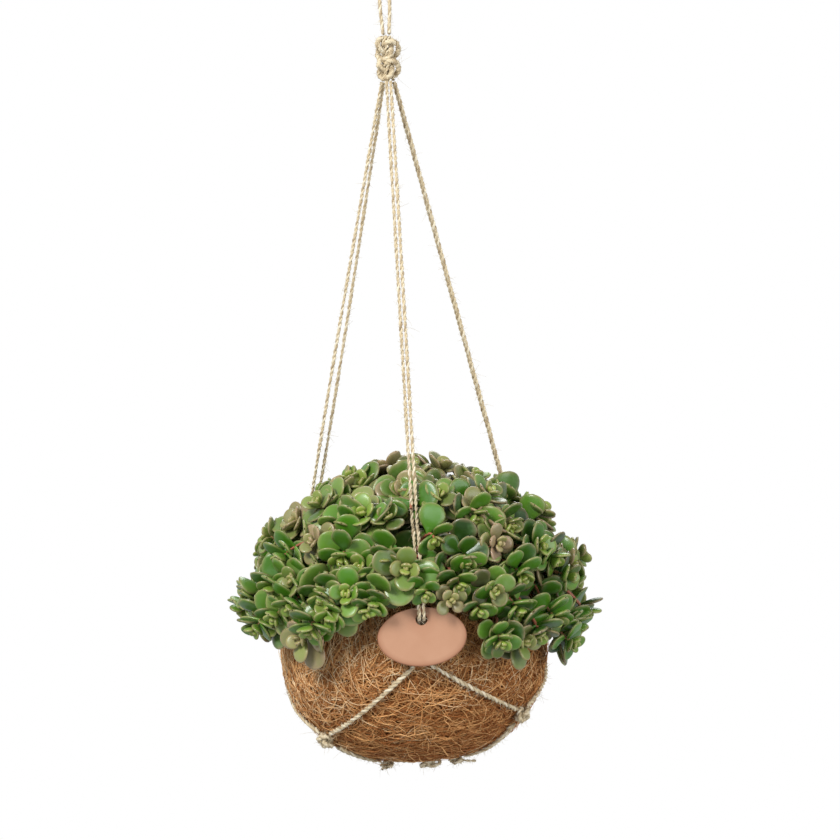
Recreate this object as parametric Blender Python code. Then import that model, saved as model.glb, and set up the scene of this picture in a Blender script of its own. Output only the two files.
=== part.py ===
"""Hanging coir-ball planter: trailing round-leaved stonecrop in a knotted jute net.

Metres, +Z up.  The origin is the inside top of the hanging loop, so the plant hangs below it.
Azimuth 0 is the front (-Y), positive towards +X.  Heights on the ball are from its equator.
"""
import math

import bmesh
import bpy
import numpy as np
from mathutils import Vector
from mathutils.bvhtree import BVHTree

for old in list(bpy.data.objects):
    bpy.data.objects.remove(old, do_unlink=True)

MM = 0.001
GAP = 0.35          # clear air between neighbouring pieces, mm
BALL_DROP = 415.0   # equator of the ball below the hanging point
STRAND = 2.1        # twine of the legs and the loop
ARM = 2.6           # twine drawn round the ball
LEAF_THICK = 2.0
STEM = 2.4          # stem diameter
SIDES = 32          # facets round the ball

# Outer profile of the ball, then its rim, then the inside wall: (height, radius)
OUTER = [(-60, 13), (-59.3, 26), (-56.5, 37), (-51.5, 48), (-43.5, 58), (-32.5, 66), (-18, 72.5),
         (0, 75), (15, 74), (27, 71), (33, 67.5)]
INNER = [(35, 63.5), (33, 60.5), (20, 62), (0, 63), (-20, 60), (-35, 52), (-44, 41), (-48, 25)]
SOIL_TOP = [(31, 59.8), (35, 48), (38, 30), (39.5, 12)]


def at(azimuth, radius, height):
    """A place on or round the ball, in mm, as a world vector in metres."""
    a = math.radians(azimuth)
    return Vector((radius * math.sin(a), -radius * math.cos(a), height - BALL_DROP)) * MM


def interp(table, height):
    rows = sorted(table)
    return float(np.interp(height, [h for h, r in rows], [r for h, r in rows]))


def soil_height(radius):
    return float(np.interp(radius, [0, 12, 30, 48, 60], [40, 39.5, 38, 35, 31]))


def material(name, colour, roughness=0.8):
    mat = bpy.data.materials.new(name)
    mat.use_nodes = True
    shader = mat.node_tree.nodes["Principled BSDF"]
    shader.inputs["Base Color"].default_value = (*colour, 1.0)
    shader.inputs["Roughness"].default_value = roughness
    mat.diffuse_color = (*colour, 1.0)
    return mat


COIR = material("coir_fibre", (0.45, 0.26, 0.12))
EARTH = material("potting_soil", (0.10, 0.06, 0.04))
JUTE = material("jute_twine", (0.55, 0.38, 0.20))
HIDE = material("tag_leather", (0.62, 0.38, 0.25), 0.6)
GREEN = material("succulent_leaf", (0.12, 0.28, 0.06), 0.45)


def add_object(name, mesh, mat, smooth=False):
    obj = bpy.data.objects.new(name, mesh)
    bpy.context.scene.collection.objects.link(obj)
    mesh.materials.clear()
    mesh.materials.append(mat)
    if smooth:
        mesh.shade_smooth()
    return obj


def mesh_from(name, verts, faces):
    mesh = bpy.data.meshes.new(name)
    mesh.from_pydata([tuple(v) for v in verts], [], faces)
    mesh.update()
    return mesh


# ---------------------------------------------------------------- turned solids

def lathe(name, profile, mat):
    """Turn a closed profile whose first and last rows are joined across the axis."""
    verts, faces = [], []
    for height, radius in profile:
        verts += [at(360.0 * k / SIDES, radius, height) for k in range(SIDES)]
    rows = len(profile)
    for row in range(rows - 1):
        for k in range(SIDES):
            a, b = row * SIDES + k, row * SIDES + (k + 1) % SIDES
            faces.append((a, b, b + SIDES, a + SIDES))
    faces.append(tuple(reversed(range(SIDES))))
    faces.append(tuple(range((rows - 1) * SIDES, rows * SIDES)))
    mesh = mesh_from(name, verts, faces)
    work = bmesh.new()
    work.from_mesh(mesh)
    bmesh.ops.recalc_face_normals(work, faces=work.faces)
    work.to_mesh(mesh)
    work.free()
    return add_object(name, mesh, mat, smooth=True)


shell = lathe("coir_ball", OUTER + INNER, COIR)
inside = [(h + (0.5 if h < -40 else 0.0), r - GAP - 0.1) for h, r in reversed(INNER[2:])]
soil = lathe("potting_soil", inside + SOIL_TOP, EARTH)


# ---------------------------------------------------------------- twine

def smooth_path(points, step):
    """A Catmull-Rom curve through the points, cut at even steps (metres)."""
    pts = [points[0] * 2 - points[1]] + list(points) + [points[-1] * 2 - points[-2]]
    fine = []
    for i in range(1, len(pts) - 2):
        a, b, c, d = pts[i - 1:i + 3]
        for k in range(16):
            t = k / 16
            fine.append(0.5 * (2 * b + (c - a) * t + (2 * a - 5 * b + 4 * c - d) * t * t
                               + (3 * b - a - 3 * c + d) * t ** 3))
    fine.append(points[-1].copy())
    away = [0.0]
    for p, q in zip(fine, fine[1:]):
        away.append(away[-1] + (q - p).length)
    count = max(2, round(away[-1] / step) + 1)
    marks = np.linspace(0, away[-1], count)
    xyz = np.array([tuple(p) for p in fine])
    return [Vector([float(np.interp(m, away, xyz[:, i])) for i in range(3)]) for m in marks]


def twine(name, points, diameter, step=9.0):
    """A round cord along a smooth route."""
    path = smooth_path(points, step * MM)
    curve = bpy.data.curves.new(name, "CURVE")
    curve.dimensions = "3D"
    curve.bevel_depth = diameter / 2 * MM
    curve.bevel_resolution = 2
    curve.use_fill_caps = True
    curve.resolution_u = 1
    curve.render_resolution_u = 0
    line = curve.splines.new("POLY")
    line.points.add(len(path) - 1)
    for point, place in zip(line.points, path):
        point.co = (*place, 1.0)
    return add_object(name, curve, JUTE)


def knot(name, centre, along, out, size, wraps=2.0, sides=12, rows=8):
    """A tied lump with slanting wraps: size is (width, depth, height along the cord), mm."""
    along = along.normalized()
    side = along.cross(out).normalized()
    out = side.cross(along).normalized()
    verts = [centre - along * size[2] / 2 * MM]
    for row in range(1, rows):
        polar = math.pi * row / rows
        for k in range(sides):
            turn = 2 * math.pi * k / sides
            swell = 1.0 + 0.13 * math.cos(wraps * 2 * polar + turn)
            ring = math.sin(polar) ** 0.7 * swell
            verts.append(centre + (side * math.cos(turn) * size[0] / 2 * ring
                                   + out * math.sin(turn) * size[1] / 2 * ring
                                   - along * math.cos(polar) * size[2] / 2) * MM)
    verts.append(centre + along * size[2] / 2 * MM)
    faces = [(0, 1 + (k + 1) % sides, 1 + k) for k in range(sides)]
    for row in range(rows - 2):
        for k in range(sides):
            a, b = 1 + row * sides + k, 1 + row * sides + (k + 1) % sides
            faces.append((a, b, b + sides, a + sides))
    last, start = len(verts) - 1, 1 + (rows - 2) * sides
    faces += [(last, start + k, start + (k + 1) % sides) for k in range(sides)]
    mesh = mesh_from(name, verts, faces)
    work = bmesh.new()
    work.from_mesh(mesh)
    bmesh.ops.recalc_face_normals(work, faces=work.faces)
    work.to_mesh(mesh)
    work.free()
    return add_object(name, mesh, JUTE, smooth=True)


UP = Vector((0, 0, 1))


def outward(azimuth):
    return at(azimuth, 1, BALL_DROP).normalized()


UPPER = {"front": 3.5, "right": 112.0, "left": -118.0}          # azimuths of the upper knots
LOWER = {"right": (59.0, -33.7), "left": (-56.5, -42.8), "back": (180.0, -39.0)}
UPPER_HEIGHT = 6.0
KNOT_TOP = 350.0        # top and foot of the big knot above the equator
KNOT_FOOT = 323.0

top_centre = at(0, 0, (KNOT_TOP + KNOT_FOOT) / 2)
twines = [knot("top_knot", top_centre, UP, Vector((0, -1, 0)), (15.0, 13.0, KNOT_TOP - KNOT_FOOT),
               wraps=2.5, sides=14, rows=12)]

# The loop: three twines lie side by side, each folded over the hanging point.
for number, shift in enumerate((-2.6, 0.0, 2.6), 1):
    half = [(1.7, KNOT_TOP + 0.5), (2.6, KNOT_TOP + 13), (3.4, 378), (6.8, 393), (7.6, 403), (5.6, 411)]
    points = [Vector((x, shift * (1 if z > 372 else 0.85), z - BALL_DROP)) * MM for x, z in half]
    crown = Vector((0, shift, STRAND / 2)) * MM
    left = [Vector((-p.x, p.y, p.z)) for p in reversed(points)]
    twines.append(twine(f"loop_strand_{number}", points + [crown] + left, STRAND, 7.0))


def leg_points(azimuth, offset):
    """Two strands run side by side from the big knot down to an upper knot on the ball."""
    across = outward(azimuth + 90) * offset * MM
    start = at(azimuth, 3.6, KNOT_FOOT + 0.1)
    foot = at(azimuth, 79.5, UPPER_HEIGHT + 6.5)
    line = [start.lerp(foot, t) for t in (0.0, 0.1, 0.5, 0.8)]
    if azimuth == UPPER["front"]:       # this pair comes down in front of the tag's top edge
        line += [at(azimuth, r, h) for r, h in ((72, 70), (84, 43), (88.6, 34), (89.4, 29),
                                                (87.8, 25.2), (85.6, 24.2), (83.2, 23.2),
                                                (80.9, 19.4), (79.3, 12.1))]
    else:
        line += [start.lerp(foot, 0.93), at(azimuth, 79.3, UPPER_HEIGHT + 5.6)]
    spread = [0.92] + [1.0] * (len(line) - 1)
    if azimuth == UPPER["left"]:        # these two swing apart and cross near the leaves
        spread = [0.92, 1.6, 3.2, 1.1, -1.0, -1.0]
        pass_by = outward(azimuth) * math.copysign(1.35, offset) * MM
        line[3], line[4] = line[3] + pass_by, line[4] + pass_by
    return [p + across * s for p, s in zip(line, spread)]


for side, azimuth in UPPER.items():
    for number, offset in ((1, -1.28), (2, 1.28)):
        twines.append(twine(f"{side}_leg_strand_{number}", leg_points(azimuth, offset),
                            STRAND, 14.0 if side == "right" else 7.0))
    centre = at(azimuth, 75 + 3.7, UPPER_HEIGHT)
    twines.append(knot(f"{side}_upper_knot", centre, UP, outward(azimuth), (10.0, 7.0, 11.0)))


def on_ball(azimuth, height, lift):
    return at(azimuth, interp(OUTER, height) + lift, height)


def arm_points(start, end, sag):
    """From an upper knot round the ball's side to a lower knot, a little below a straight run."""
    (a0, h0), (a1, h1) = start, end
    lift = ARM / 2 + 0.75
    rows = []
    for t in np.linspace(0.0, 1.0, 9):
        height = h0 + (h1 - h0) * (t + sag * math.sin(math.pi * t))
        rows.append(on_ball(a0 + (a1 - a0) * t, height, lift))
    return rows


ARMS = [("front", "left", 0.16), ("front", "right", 0.10), ("right", "right", 0.10),
        ("right", "back", 0.12), ("left", "left", 0.14), ("left", "back", 0.12)]
for upper, lower, sag in ARMS:
    a0, (a1, h1) = UPPER[upper], LOWER[lower]
    if lower == "back" and upper == "left":
        a1 = -180.0
    lean = math.copysign(1.0, a1 - a0)
    points = arm_points((a0 + 3.2 * lean, UPPER_HEIGHT - 7.3), (a1 - 5.2 * lean, h1 + 1.6), sag)
    twines.append(twine(f"{upper}_arm_to_{lower}_knot", points, ARM, 6.5))

# Lower knots, the two strands that run on below each, and the knots under the ball.
RING = 18.0
BOTTOM = {"right": (60.0, 24.2), "left": (-47.0, 24.2), "back": (180.0, 24.2)}
for side, (azimuth, height) in LOWER.items():
    radius = interp(OUTER, height)
    slope = math.atan2(interp(OUTER, height + 4) - interp(OUTER, height - 4), 8.0)
    down = (-UP * math.cos(slope) - outward(azimuth) * math.sin(slope)).normalized()
    face = (outward(azimuth) * math.cos(slope) - UP * math.sin(slope)).normalized()
    centre = at(azimuth, radius, height) + face * 3.9 * MM
    twines.append(knot(f"{side}_lower_knot", centre, down, face, (9.0, 6.6, 9.5)))
    low_azimuth, low_radius = BOTTOM[side]
    for number, offset in ((1, -1.6), (2, 1.6)):
        points = []
        for t in np.linspace(0, 1, 6):
            h = float(np.interp(t, [0, 0.35, 0.7, 1], [height - 5.6, -52.0, -56.8, -58.3]))
            r = float(np.interp(h, [-59.3, -56.5, -51.5, -43.5, -32.5], [26, 37, 48, 58, 66]))
            r = r if t < 1 else low_radius + 5.0
            a = azimuth + (low_azimuth - azimuth) * t
            lift = at(a, r, h) + (outward(a) * 0.55 - UP * 0.83).normalized() * 2.1 * MM
            points.append(lift + outward(a + 90) * offset * MM)
        twines.append(twine(f"{side}_under_strand_{number}", points, STRAND, 6.0))
    place = at(low_azimuth, low_radius, -59.5) - UP * 3.2 * MM
    twines.append(knot(f"{side}_bottom_knot", place, outward(low_azimuth), -UP, (7.5, 5.0, 7.5)))

ring_points = [at(46.5 + a, RING, -60 - STRAND / 2 - 0.4) for a in np.linspace(0, 307, 25)]
twines.append(twine("bottom_ring", ring_points, STRAND, 5.5))
twines.append(knot("bottom_ring_knot", at(20, RING, -63.2), outward(110), -UP, (6.4, 5.0, 16.0)))

# ---------------------------------------------------------------- tag

TAG = (47.5, 31.5, 1.8)
TAG_PLACE = at(UPPER["front"], 85.6, 15.0)
HOLE = (0.0, 9.2, 3.7)      # across, up from the middle, radius

face_out = outward(UPPER["front"])
across = outward(UPPER["front"] + 90)
rim_rows = []
for depth, shrink in ((-0.5, 0.5), (-0.28, 0.0), (0.28, 0.0), (0.5, 0.5)):
    row = []
    for k in range(36):
        turn = 2 * math.pi * k / 36
        row.append(TAG_PLACE + (across * math.cos(turn) * (TAG[0] / 2 - shrink)
                                + UP * math.sin(turn) * (TAG[1] / 2 - shrink)
                                + face_out * depth * TAG[2]) * MM)
    rim_rows.append(row)
tag_faces = [tuple(reversed(range(36))), tuple(range(108, 144))]
for row in range(3):
    for k in range(36):
        a, b = row * 36 + k, row * 36 + (k + 1) % 36
        tag_faces.append((a, b, b + 36, a + 36))
tag_mesh = mesh_from("tag", [v for row in rim_rows for v in row], tag_faces)
work = bmesh.new()
work.from_mesh(tag_mesh)
bmesh.ops.recalc_face_normals(work, faces=work.faces)
work.to_mesh(tag_mesh)
work.free()
tag = add_object("leather_tag", tag_mesh, HIDE)

bpy.ops.mesh.primitive_cylinder_add(vertices=16, radius=HOLE[2] * MM, depth=10 * MM)
cutter = bpy.context.object
cutter.name = "tag_hole_cutter"
cutter.data.transform(face_out.to_track_quat("Z", "Y").to_matrix().to_4x4())
cutter.location = TAG_PLACE + (across * HOLE[0] + UP * HOLE[1]) * MM
cutter.hide_render = True
cutter.display_type = "WIRE"
hole = tag.modifiers.new("hole", "BOOLEAN")
hole.operation, hole.solver, hole.object = "DIFFERENCE", "EXACT", cutter

# ---------------------------------------------------------------- shoots

# Each shoot: where its stem leaves the soil (azimuth, radius), then its tips:
# (azimuth, radius, height, leaf length, how far the tip looks up in degrees).
SHOOTS = {
    "centre_front_shoot": ((4, 47), [(-1, 92, 52, 17, 25), (13, 96, 34, 9, 5)]),
    "right_front_shoot": ((33, 45), [(27, 97, 38, 12, 5), (33, 89, 62, 10, -10)]),
    "right_side_shoot": ((62, 36), [(53, 89, 58, 13, 25), (82, 76, 76, 12, 45)]),
    "right_spread_shoot": ((80, 47), [(67, 95, 40, 12, 5), (90, 97, 48, 12, 10)]),
    "right_low_shoot": ((76, 51), [(80, 99, 17, 11, -20), (62, 99, 4, 11, -30)]),
    "front_right_low_shoot": ((44, 51), [(44, 99, 12, 12, -20), (29, 97, 10, 11, -40)]),
    "front_top_shoot": ((20, 26), [(17, 60, 88, 13, 55), (47, 62, 88, 12, 50)]),
    "left_front_shoot": ((-28, 53), [(-33, 99, 21, 13, -15), (-20, 97, 40, 13, 10)]),
    "left_spread_shoot": ((-62, 52), [(-60, 99, 20, 12, -10), (-72, 96, 38, 12, 10)]),
    "left_bud_shoot": ((-36, 40), [(-38, 83, 67, 11, 35), (-43, 92, 46, 12, 15)]),
    "left_top_shoot": ((-55, 20), [(-62, 35, 99, 13, 70), (-50, 63, 86, 13, 50)]),
    "crown_shoot": ((10, 6), [(12, 22, 103, 12, 80), (-10, 68, 78, 12, 50)]),
    "left_side_shoot": ((-88, 38), [(-82, 80, 68, 12, 40), (-106, 88, 58, 12, 30)]),
    "left_back_low_shoot": ((-108, 53), [(-99, 99, 25, 12, 0), (-123, 98, 14, 12, -15)]),
    "left_back_shoot": ((-140, 38), [(-132, 92, 50, 13, 20), (-152, 80, 68, 12, 40)]),
    "back_left_low_shoot": ((-164, 52), [(-155, 99, 24, 12, 3), (-175, 98, 8, 12, -20)]),
    "back_shoot": ((175, 32), [(-176, 91, 50, 13, 20), (172, 60, 87, 12, 60)]),
    "back_right_low_shoot": ((155, 53), [(151, 97, 34, 12, 5), (158, 98, 8, 12, -20)]),
    "right_back_shoot": ((130, 38), [(124, 92, 52, 13, 20), (142, 75, 74, 12, 45)]),
    "right_back_low_shoot": ((129, 51), [(130, 98, 12, 12, -15), (107, 99, 25, 12, 0)]),
    "right_top_shoot": ((100, 20), [(106, 70, 79, 12, 45), (78, 40, 96, 12, 65)]),
    "left_crown_shoot": ((-125, 18), [(-120, 55, 89, 13, 55), (-178, 22, 101, 12, 75)]),
}


def bezier(a, b, c, d, count):
    rows = []
    for t in np.linspace(0, 1, count):
        s = 1 - t
        rows.append(a * s ** 3 + b * 3 * s * s * t + c * 3 * s * t * t + d * float(t) ** 3)
    return rows


def cut_at(path, from_tip):
    """Places and directions on a path at the given distances back from its tip (mm)."""
    xyz = np.array([tuple(p) for p in reversed(path)])
    away = np.concatenate([[0], np.cumsum(np.linalg.norm(np.diff(xyz, axis=0), axis=1))]) / MM
    places = [Vector([float(np.interp(m, away, xyz[:, i])) for i in range(3)]) for m in from_tip]
    ways = []
    for i in range(len(places)):
        ways.append((places[i - 1] - places[i] if i else places[0] - places[1]).normalized())
    return places, ways, float(away[-1])


STATIONS = (0.0, 2.0, 4.0, 6.2, 15.0, 17.2)     # stem cuts behind a tip; leaves sit between


class Shoot:
    """One grown solid: square-section stems whose side faces open into leaves and branches."""

    def __init__(self, name):
        self.name = name
        self.verts, self.quads, self.faces, self.blades, self.tubes = [], {}, [], [], []

    def ring(self, place, side, up, half):
        first = len(self.verts)
        self.verts += [place + (side * x + up * y) * half * MM
                       for x, y in ((-1, -1), (1, -1), (1, 1), (-1, 1))]
        return list(range(first, first + 4))

    def grow(self, path, half, start=None, joint=None):
        """Run a stem from its foot (or from a side face) to its tip; returns its segments."""
        total = cut_at(path, [0, 1])[2]
        marks = [m for m in STATIONS if m < total - 6]
        if joint:
            marks += [joint - 1.1, joint + 1.1]
        last = max(marks)
        spare = total - last
        steps = max(1, round(spare / 13))
        marks += [last + spare * k / steps for k in range(1, steps)]
        marks = sorted(marks) + ([total] if start is None else [])
        places, ways, _ = cut_at(path, marks)
        places, ways = places[::-1], ways[::-1]
        if start is None:
            side = ways[0].orthogonal().normalized()
            rings = []
        else:
            side = (self.verts[start[1]] - self.verts[start[0]]).normalized()
            rings = [start]
        for place, way in zip(places, ways):
            side = (side - way * side.dot(way)).normalized()
            up = way.cross(side).normalized()
            rings.append(self.ring(place, side, up, half))
        if start is None:
            self.faces.append(tuple(reversed(rings[0])))
        self.faces.append(tuple(rings[-1]))
        segments = []
        for low, high in zip(rings, rings[1:]):
            keys = []
            for k in range(4):
                key = (low[k], low[(k + 1) % 4], high[(k + 1) % 4], high[k])
                self.quads[key] = True
                keys.append(key)
            segments.append(keys)
        return segments[::-1], sorted(marks)

    def middle(self, key):
        return sum((self.verts[i] for i in key), Vector()) / 4

    def leaf_on(self, key, way, open_angle, length):
        """Open a side face of the stem into a leaf, if the leaf has room."""
        if key not in self.quads:
            return False
        v = [self.verts[i] for i in key]
        side = (v[1] - v[0]).normalized()
        out = side.cross(way).normalized()
        angle = math.radians(open_angle + chance.uniform(-7, 7))
        along = (out * math.sin(angle) + way * math.cos(angle)
                 + side * chance.uniform(-0.12, 0.12)).normalized()
        face = side.cross(along)
        face = face if face.dot(way) > 0 else -face
        root = self.middle(key)
        for shrink in (1.0, 0.85, 0.7, 0.55):
            size = length * shrink
            wide = blade(root, along, face, side, size, 0.45)
            slim = blade(root, along, face, side, size, 0.15)
            if ball_in_the_way(wide[0]) or not free(self.name, *wide):
                continue
            own = tree_of(*slim)
            if any(own.overlap(other) for other in self.blades):
                continue
            made, faces = blade(root, along, face, side, size, 0.0)
            first = len(self.verts)
            self.verts += made
            r1, r2, tip, l2, l1, top, under = range(first, first + 7)
            upper = [key[3], key[2], r1, r2, tip, l2, l1]
            lower = [key[0], key[1], r1, r2, tip, l2, l1]
            for loop, hub in ((upper, top), (lower, under)):
                self.faces += [(loop[i], loop[(i + 1) % 7], hub) for i in range(7)
                               if (loop[i], loop[(i + 1) % 7]) != (key[3], key[2])
                               and (loop[i], loop[(i + 1) % 7]) != (key[0], key[1])]
            self.faces += [(key[3], key[2], top), (key[0], key[1], under),
                           (key[1], key[2], r1), (key[0], key[3], l1)]
            del self.quads[key]
            self.blades.append(tree_of(made, faces))
            obstacles.append((self.name, self.blades[-1]))
            return True
        return False


LEAF_RIM = [(0.40, 0.35), (0.80, 0.39), (1.0, 0.0), (0.80, -0.39), (0.40, -0.35)]


def blade(root, along, face, side, length, swell):
    """The free part of a thick round leaf: pointed lens section, slightly cupped."""
    grow = 1 + 2 * swell / length
    verts = []
    for x, y in LEAF_RIM:
        cup = 0.11 * length * (x * x + y * y)
        verts.append(root + (along * x * length * grow + side * y * length * grow
                             + face * cup) * MM)
    middle = root + along * 0.52 * length * MM + face * 0.02 * length * MM
    thick = (LEAF_THICK / 2 + swell) * MM
    verts += [middle + face * thick, middle - face * thick]
    faces = [(k, 5, (k + 1) % 5) for k in range(5)] + [(k, (k + 1) % 5, 6) for k in range(5)]
    return verts, faces


def tree_of(verts, faces):
    return BVHTree.FromPolygons([tuple(v) for v in verts], faces)


def ball_in_the_way(verts):
    """True where a point is in the coir or the soil."""
    for v in verts:
        radius = math.hypot(v.x, v.y) / MM
        height = v.z / MM + BALL_DROP
        if height < 36.5 and radius < interp(OUTER, height) + 1.0:
            if radius > 59 or height < soil_height(radius) + 0.8:
                return True
    return False


graph = bpy.context.evaluated_depsgraph_get()
obstacles = []
for obj in twines + [tag, shell, soil]:
    solid = obj.evaluated_get(graph)
    mesh = solid.to_mesh()
    points = [obj.matrix_world @ v.co for v in mesh.vertices]
    faces = [tuple(p.vertices) for p in mesh.polygons]
    obstacles.append(("", tree_of(points, faces)))
    solid.to_mesh_clear()


def free(name, verts, faces):
    tree = tree_of(verts, faces)
    return all(owner == name or not tree.overlap(other) for owner, other in obstacles)


def sleeve(path, half):
    """A plain square sleeve round a stem, which leaves of other shoots keep clear of."""
    places, ways, _ = cut_at(path, [float(m) for m in np.arange(0, 130, 8.0)
                                    if m < cut_at(path, [0, 1])[2] - 3])
    verts, faces = [], []
    for place, way in zip(places, ways):
        side = way.orthogonal().normalized()
        up = way.cross(side)
        verts += [place + (side * x + up * y) * half * MM
                  for x, y in ((-1, -1), (1, -1), (1, 1), (-1, 1))]
    for i in range(len(places) - 1):
        faces += [(i * 4 + k, i * 4 + (k + 1) % 4, i * 4 + 4 + (k + 1) % 4, i * 4 + 4 + k)
                  for k in range(4)]
    return verts, faces


def tip_frame(azimuth, tilt):
    lift = math.radians(tilt)
    return (outward(azimuth) * math.cos(lift) + UP * math.sin(lift)).normalized()


chance = np.random.default_rng(11)      # small unevenness of the leaves
HALF = STEM / 2 * 0.85
shoots, tips = {}, []
for name, ((base_azimuth, base_radius), ends) in SHOOTS.items():
    shoot = shoots[name] = Shoot(name)
    root = at(base_azimuth, base_radius, soil_height(base_radius) + GAP + 0.3)
    for number, (azimuth, radius, height, size, tilt) in enumerate(ends):
        end = at(azimuth, radius, height)
        looks = tip_frame(azimuth, tilt)
        if number == 0:
            reach = (end - root).length
            arch = 0.10 if height > 30 else 0.38        # low tips climb over the rim first
            path = bezier(root, root + UP * reach * 0.48,
                          end - looks * reach * 0.30 + UP * reach * arch, end, 40)
            length = cut_at(path, [0, 1])[2]
            joint = length * 0.55
            segments, marks = shoot.grow(path, HALF, joint=joint)
            fork = segments[marks.index(joint - 1.1)]
            _, fork_way, _ = cut_at(path, [joint - 1.1, joint + 1.1])
        else:
            axis = sum((shoot.middle(k) for k in fork), Vector()) / 4
            key = max(fork, key=lambda k: (shoot.middle(k) - axis).dot(end - axis))
            del shoot.quads[key]
            start = shoot.middle(key)
            reach = (end - start).length
            side_way = (start - axis).normalized()
            path = bezier(start, start + (side_way + fork_way[1]) * reach * 0.25,
                          end - looks * reach * 0.4, end, 40)
            segments, marks = shoot.grow(path, HALF * 0.9, start=list(key))
        obstacles.append((name, tree_of(*sleeve(path, HALF))))
        tips.append((shoot, segments, marks, path, size))

for index, (shoot, segments, marks, path, size) in enumerate(tips):
    _, ways, _ = cut_at(path, marks)
    # (segment behind the tip, which pair of faces, opening, share of the full leaf length)
    for segment, pair, angle, part in ((2, 1, 78, 1.0), (1, 0, 70, 0.95), (0, 1, 40, 0.6)):
        for k in (pair, pair + 2):
            shoot.leaf_on(segments[segment][k], ways[segment], angle, size * part)
for index, (shoot, segments, marks, path, size) in enumerate(tips):
    _, ways, _ = cut_at(path, marks)
    if len(marks) > 5 and abs(marks[5] - marks[4] - 2.2) < 0.1:
        for k in (index % 2, index % 2 + 2):
            shoot.leaf_on(segments[4][k], ways[4], 66, size)

for name, shoot in shoots.items():
    faces = [tuple(f) for f in shoot.faces] + list(shoot.quads)
    mesh = mesh_from(name, shoot.verts, faces)
    work = bmesh.new()
    work.from_mesh(mesh)
    bmesh.ops.recalc_face_normals(work, faces=work.faces)
    work.to_mesh(mesh)
    work.free()
    add_object(name, mesh, GREEN)
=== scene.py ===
"""The finished look of the hanging coir-ball planter, built over its CAD frame.

Metres, +Z up, origin at the inside top of the hanging loop.  Azimuth 0 is the front (-Y).
"""

import math

import bpy
import numpy as np
from mathutils import Matrix, Vector


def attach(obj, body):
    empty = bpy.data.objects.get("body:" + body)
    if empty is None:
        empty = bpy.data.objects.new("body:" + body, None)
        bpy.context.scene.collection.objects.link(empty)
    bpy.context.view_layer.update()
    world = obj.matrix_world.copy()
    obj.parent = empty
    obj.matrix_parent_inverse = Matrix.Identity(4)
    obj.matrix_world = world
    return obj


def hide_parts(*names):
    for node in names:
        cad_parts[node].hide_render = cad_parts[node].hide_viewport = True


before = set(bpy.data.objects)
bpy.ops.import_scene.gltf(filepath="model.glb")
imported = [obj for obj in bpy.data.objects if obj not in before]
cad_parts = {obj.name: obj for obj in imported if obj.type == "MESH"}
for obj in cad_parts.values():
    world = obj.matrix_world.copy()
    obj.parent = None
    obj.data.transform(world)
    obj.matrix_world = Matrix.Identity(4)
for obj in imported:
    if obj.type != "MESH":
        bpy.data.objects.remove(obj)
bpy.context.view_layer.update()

MM = 0.001
BALL_DROP = 415.0           # mm from the origin down to the ball's equator
STRAND, ARM = 2.1, 2.6      # twine diameters, mm
UP = np.array([0.0, 0.0, 1.0])
rng = np.random.default_rng(5)


def place(azimuth, radius, height):
    """World point (metres) from azimuth (degrees), radius and height above the equator (mm)."""
    a = np.radians(azimuth)
    return np.stack([radius * np.sin(a), -radius * np.cos(a), height - BALL_DROP + 0 * a],
                    axis=-1) * MM


def outward(azimuth):
    a = np.radians(azimuth)
    return np.stack([np.sin(a), -np.cos(a), 0 * a], axis=-1)


def unit(v):
    return v / np.maximum(np.linalg.norm(v, axis=-1, keepdims=True), 1e-12)


# ---------------------------------------------------------------- camera

CAMERA_LENS = 90.2                                      # mm
CAMERA_PLACE = (0.0093, -1.2, (129.7 - BALL_DROP) * MM)
CAMERA_ROLL = -2.61                                     # degrees

camera = bpy.data.objects.new("camera", bpy.data.cameras.new("camera"))
bpy.context.scene.collection.objects.link(camera)
bpy.context.scene.camera = camera
camera.data.lens = CAMERA_LENS
camera.matrix_world = (Matrix.Translation(CAMERA_PLACE)
                       @ Matrix.Rotation(math.pi / 2, 4, "X")
                       @ Matrix.Rotation(math.radians(CAMERA_ROLL), 4, "Z"))

# ---------------------------------------------------------------- shader tools


def rgb(code):
    """Linear colour from an sRGB hex code."""
    parts = [int(code[i:i + 2], 16) / 255 for i in (0, 2, 4)]
    return tuple(c / 12.92 if c <= 0.04045 else ((c + 0.055) / 1.055) ** 2.4
                 for c in parts) + (1.0,)


class Value:
    """A shader socket that can be used in ordinary arithmetic."""

    def __init__(self, graph, socket):
        self.graph, self.socket = graph, socket

    def math(self, operation, *others):
        return self.graph.node("ShaderNodeMath", {"operation": operation}, [self, *others])

    def __add__(self, other):
        return self.math("ADD", other)

    def __mul__(self, other):
        return self.math("MULTIPLY", other)

    def __sub__(self, other):
        return self.math("SUBTRACT", other)

    def __rsub__(self, other):
        return (self * -1.0) + other

    __radd__, __rmul__ = __add__, __mul__

    def between(self, low, high):
        return self.graph.node("ShaderNodeMapRange", {"interpolation_type": "SMOOTHSTEP"},
                               {"Value": self, "From Min": low, "From Max": high})


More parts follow.
